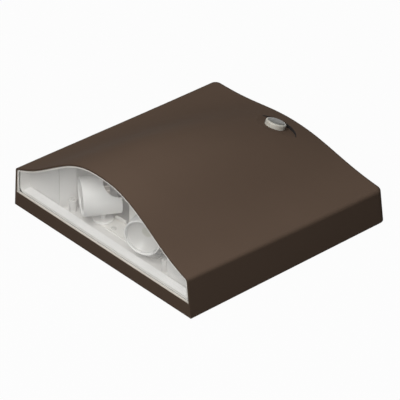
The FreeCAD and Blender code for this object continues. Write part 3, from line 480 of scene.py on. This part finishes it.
print("wall behind the button, mm:", round(wall_height(0, RECESS_HALF_Y + RECESS_SHIFT + 1), 2))

# %% The strip of painted shade in the photocell's recess
STRIP_THICK, STRIP_STEP = 0.8, 4             # mm, and degrees of the oval
WALL_GAP, FLOOR_GAP = 0.05, 0.02
BESIDE_WALL = 0.6                            # the wall is measured this far outside the oval
LEAST_WALL = 0.15                            # below this there is no wall for the strip


def strip_section(t):
    """Four corners of the strip at angle t of the oval, or None where there is no wall."""
    x, y = RECESS_HALF_X * math.cos(t), RECESS_HALF_Y * math.sin(t)
    inward = Vector((-x / RECESS_HALF_X ** 2, -y / RECESS_HALF_Y ** 2)).normalized()
    y += RECESS_SHIFT
    height = wall_height(x - BESIDE_WALL * inward.x, y - BESIDE_WALL * inward.y)
    if height < LEAST_WALL:
        return None
    return [recess_point(x + depth * inward.x, y + depth * inward.y, z)
            for depth, z in ((WALL_GAP, FLOOR_GAP), (STRIP_THICK, FLOOR_GAP),
                             (STRIP_THICK, height), (WALL_GAP, height))]


sections = [strip_section(math.radians(a)) for a in range(STRIP_STEP, 180, STRIP_STEP)]
sections = [section for section in sections if section]
points = [p for section in sections for p in section]
# A black strip of painted shade along the recess's far wall.
housing_piece("recess_shade_strip", points, loft_faces(4, len(sections)), recess_shade_black, "black_rubber")

# %% [markdown]
# The ledge right behind the pane is the brightest part of the room. A whiter strip on it is
# painted light for the light that falls there. A flat plane would have no edge to catch light, so
# the strip is a thin sheet with rounded corners, made as an outline and drawn up.

# %% The strip of painted light on the ledge
LIT_LEDGE_HALF_X, LIT_LEDGE_NEAR, LIT_LEDGE_FAR = 140.0, -142.6, -131.4
LIT_LEDGE_Z, LIT_LEDGE_THICK = 23.02, 0.25
LIT_LEDGE_R, LIT_LEDGE_STEPS = 3.0, 6
corner_x, near_y, far_y = LIT_LEDGE_HALF_X - LIT_LEDGE_R, LIT_LEDGE_NEAR + LIT_LEDGE_R, LIT_LEDGE_FAR - LIT_LEDGE_R
outline = []
for cx, cy, start in ((corner_x, far_y, 0), (-corner_x, far_y, 90),
                      (-corner_x, near_y, 180), (corner_x, near_y, 270)):
    for i in range(LIT_LEDGE_STEPS + 1):
        a = math.radians(start + 90 * i / LIT_LEDGE_STEPS)
        outline.append((cx + LIT_LEDGE_R * math.cos(a), cy + LIT_LEDGE_R * math.sin(a)))
points = [(x, y, z) for z in (LIT_LEDGE_Z, LIT_LEDGE_Z + LIT_LEDGE_THICK) for x, y in outline]
# A whiter strip of painted light on the ledge behind the pane.
housing_piece("ledge_light_strip", points, loft_faces(len(outline), 2), ledge_light_white, "white_tray")

# %% [markdown]
# A thin pale bead runs along the pane's edge under the arch. It could be a mesh that
# is swept along the edge, but a curve with a round bevel stays round by itself. Its path is read
# from the pane's own mesh: the points of the near face, which leans back as it goes down.

# %% The path along the pane's edge
SILL_Z = 22
NEAR_BAND, PANE_LEAN = 1.0, 0.035            # depth of the near face, and its lean per mm
FOOT_BACK = 0.9
pane_points = [v.co / MM for v in nodes["lens"].data.vertices]
crown = max(pane_points, key=lambda p: p.z)
front_y = min(p.y for p in pane_points)


def on_near_edge(p):
    """True for a point over the sill that lies on the pane's near face."""
    return p.z > SILL_Z and p.y < front_y + NEAR_BAND + PANE_LEAN * (crown.z - p.z)


def foot(p):
    """The point on the sill under one end of the path."""
    return Vector((p.x, p.y + FOOT_BACK, SILL_Z))


edge = sorted(filter(on_near_edge, pane_points), key=lambda p: p.x)
edge = [foot(edge[0]), *edge, foot(edge[-1])]
print("path points:", len(edge))

# %% The pale bead round the pane
BEAD_R = 0.65
INSET_X, INSET_Y, INSET_Z = 0.6, 0.35, 0.6   # inwards, back and down from the pane's edge
bead_curve = bpy.data.curves.new("pane_bead", "CURVE")
bead_curve.dimensions = "3D"
bead_curve.bevel_depth = BEAD_R * MM
bead_curve.bevel_resolution = 2
bead_curve.use_fill_caps = True
line = bead_curve.splines.new("POLY")
line.points.add(len(edge) - 1)
for place, p in zip(line.points, edge):
    inset = Vector((-INSET_X if p.x > 0 else INSET_X, INSET_Y, -INSET_Z))
    place.co = (*((p + inset) * MM), 1)
bead = bpy.data.objects.new("pane_bead", bead_curve)
bpy.context.scene.collection.objects.link(bead)
bead_curve.materials.append(pale_bead_white)
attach(bead, "housing")
print("bead points:", len(line.points))

# %% [markdown]
# Behind the pane the cover carries a white liner, so that the lamps' room is white all round. It
# has the cover's own inner shape, so nothing new is drawn. The cover's mesh is copied, cut down to
# the faces that look down into that room, moved off them a little, and given a thickness by a
# modifier.

# %% The white liner under the cover
LINER_NEAR, LINER_FAR, LINER_FROM_Z = -143.4, -63.0, 24.0
LOOKS_DOWN = -0.25                           # a face's normal has at most this much upward
LINER_GAP, LINER_THICK, SAME_POINT = 0.25, 0.6, 0.01
LIMITS = (((0, LINER_NEAR, 0), (0, -1, 0)), ((0, LINER_FAR, 0), (0, 1, 0)),
          ((0, 0, LINER_FROM_Z), (0, 0, -1)))
work = bmesh.new()
work.from_mesh(nodes["front_cover"].data)
for place, outward in LIMITS:
    bmesh.ops.bisect_plane(work, geom=work.verts[:] + work.edges[:] + work.faces[:],
                           plane_co=Vector(place) * MM, plane_no=outward, clear_outer=True)
others = [f for f in work.faces if f.normal.z > LOOKS_DOWN]
bmesh.ops.delete(work, geom=others, context="FACES")
bmesh.ops.remove_doubles(work, verts=work.verts, dist=SAME_POINT * MM)
work.normal_update()
for v in work.verts:
    v.co += LINER_GAP * MM * v.normal
liner_mesh = bpy.data.meshes.new("cover_liner")
work.to_mesh(liner_mesh)
work.free()
print("liner faces:", len(liner_mesh.polygons))

# %% Give the liner its thickness and finish
liner = bpy.data.objects.new("cover_liner", liner_mesh)
bpy.context.scene.collection.objects.link(liner)
liner_mesh.materials.append(tray_white)
sheet = liner.modifiers.new("thickness", "SOLIDIFY")
sheet.thickness = LINER_THICK * MM
sheet.offset = 1
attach(liner, "housing")
smooth(liner)
print("liner thickness, mm:", round(sheet.thickness / MM, 2))

# %% [markdown]
# ## The camera
#
# The photo has no vanishing points: parallel edges of the cover stay parallel. Such a picture is
# matched by an orthographic camera, which has a direction and a width but no distance. From here
# on lengths are in metres.

# %% Place the camera
VIEW_BACK = Vector((0.623, -0.539, 0.566)).normalized()
VIEW_RIGHT = Vector((0.6543, 0.7562, 0.0)).normalized()
VIEW_UP = VIEW_BACK.cross(VIEW_RIGHT)
NEAR_FOOT = Vector((0, -0.1462, 0.0015))     # the middle of the cover's near lower edge
AIM_RIGHT, AIM_UP = 0.10830, 0.06845         # the picture's middle, seen from there
PICTURE_WIDTH = 0.44628
CAMERA_AWAY, CLIP_END = 1.5, 10              # far enough to stand clear, of no other effect

aim = NEAR_FOOT + AIM_RIGHT * VIEW_RIGHT + AIM_UP * VIEW_UP
camera_data = bpy.data.cameras.new("camera")
camera_data.type = "ORTHO"
camera_data.ortho_scale = PICTURE_WIDTH
camera_data.clip_end = CLIP_END
camera = bpy.data.objects.new("camera", camera_data)
bpy.context.scene.collection.objects.link(camera)
turn = Matrix((VIEW_RIGHT, VIEW_UP, VIEW_BACK)).transposed().to_4x4()
camera.matrix_world = Matrix.Translation(aim + CAMERA_AWAY * VIEW_BACK) @ turn
bpy.context.scene.camera = camera
print("picture width in mm:", round(camera_data.ortho_scale * 1000, 1))

# %% [markdown]
# ## Floor, background and lamps
#
# The photo is a cut-out on white. The floor is a plain plane that shows nearly pure white where
# the camera, a mirror or a pane sees it. A few parts in a hundred are left to its matt grey, which
# takes a trace of shadow. All other light meets the grey alone, because a white floor would
# throw too much light up on the dark cover.

# %% A white floor that keeps a trace of shadow
FLOOR_SIZE, FLOOR_DROP = 6, 0.0002           # a hair under the part, clear of its faces
PAPER_SHARE = 0.97
bpy.ops.mesh.primitive_plane_add(size=FLOOR_SIZE, location=(0, 0, -FLOOR_DROP))
floor = bpy.context.object
floor.name = "floor"
floor_white, floor_out = blank("floor_white")
matte = add(floor_white, "ShaderNodeBsdfDiffuse", {"Color": linear("787878")})
paper = add(floor_white, "ShaderNodeEmission", {"Color": (1, 1, 1, 1), "Strength": 1.0})
rays = add(floor_white, "ShaderNodeLightPath")
seen = add(floor_white, "ShaderNodeMath", {},
           {0: rays.outputs["Is Camera Ray"], 1: rays.outputs["Is Glossy Ray"]},
           operation="MAXIMUM")
seen = add(floor_white, "ShaderNodeMath", {},
           {0: seen.outputs[0], 1: rays.outputs["Is Transmission Ray"]}, operation="MAXIMUM")
white_share = add(floor_white, "ShaderNodeMath", {1: PAPER_SHARE}, {0: seen.outputs[0]},
                  operation="MULTIPLY")
floor_mix = add(floor_white, "ShaderNodeMixShader", {},
                {0: white_share.outputs[0], 1: matte.outputs["BSDF"],
                 2: paper.outputs["Emission"]})
floor_white.node_tree.links.new(floor_mix.outputs["Shader"], floor_out.inputs["Surface"])
floor.data.materials.append(floor_white)
print("floor nodes:", len(floor_white.node_tree.nodes))

# %% [markdown]
# The world is seen white and shines pale grey. It fills the shadows a little, as the cloth of a
# light tent does.

# %% The pale world
WORLD_STRENGTH = 0.17
world = bpy.data.worlds.new("studio")
bpy.context.scene.world = world
world.use_nodes = True
world.node_tree.nodes.clear()
world_out = add(world, "ShaderNodeOutputWorld")
pale = add(world, "ShaderNodeBackground", {"Color": linear("E9EDF0"), "Strength": WORLD_STRENGTH})
white = add(world, "ShaderNodeBackground", {"Color": (1, 1, 1, 1), "Strength": 1.0})
look = add(world, "ShaderNodeLightPath")
world_mix = add(world, "ShaderNodeMixShader", {},
                {0: look.outputs["Is Camera Ray"], 1: pale.outputs["Background"],
                 2: white.outputs["Background"]})
world.node_tree.links.new(world_mix.outputs["Shader"], world_out.inputs["Surface"])
print("world strength:", WORLD_STRENGTH)

# %% [markdown]
# Three wide lamps light the object. The one overhead gives the cover its even brown. The front
# one shines through the arch and fills the white room. A weak one from the right keeps the right
# side from going black.

# %% The lamps
def lamp(name, place, target, size, power):
    """A square area lamp at place, facing target. Sizes in metres, power in watts."""
    data = bpy.data.lights.new(name, "AREA")
    data.size = size
    data.energy = power
    thing = bpy.data.objects.new(name, data)
    bpy.context.scene.collection.objects.link(thing)
    way = Vector(target) - Vector(place)
    thing.location = place
    thing.rotation_euler = way.to_track_quat("-Z", "Y").to_euler()


ARCH = (0, -0.1, 0.05)                       # the middle of the room behind the arch
lamp("overhead", (0.0, -0.2, 1.4), (0, 0, 0), 1.2, 10.3)
lamp("front", (0.4, -0.95, 1.15), ARCH, 0.8, 12.5)
lamp("right_fill", (0.75, -0.85, 0.8), ARCH, 1.0, 1.6)

# %% [markdown]
# ## Picture settings
#
# The standard view transform shows colours as they are written. Light has to cross the pane and
# the lamp glass and come back, and it goes from one white wall of the room to the next many
# times, so both kinds of bounces are allowed generously.

# %% Render settings
scene = bpy.context.scene
scene.render.engine = "CYCLES"
scene.view_settings.view_transform = "Standard"
scene.cycles.max_bounces = 16
scene.cycles.diffuse_bounces = 12
scene.cycles.transparent_max_bounces = 16
print("view transform:", scene.view_settings.view_transform)
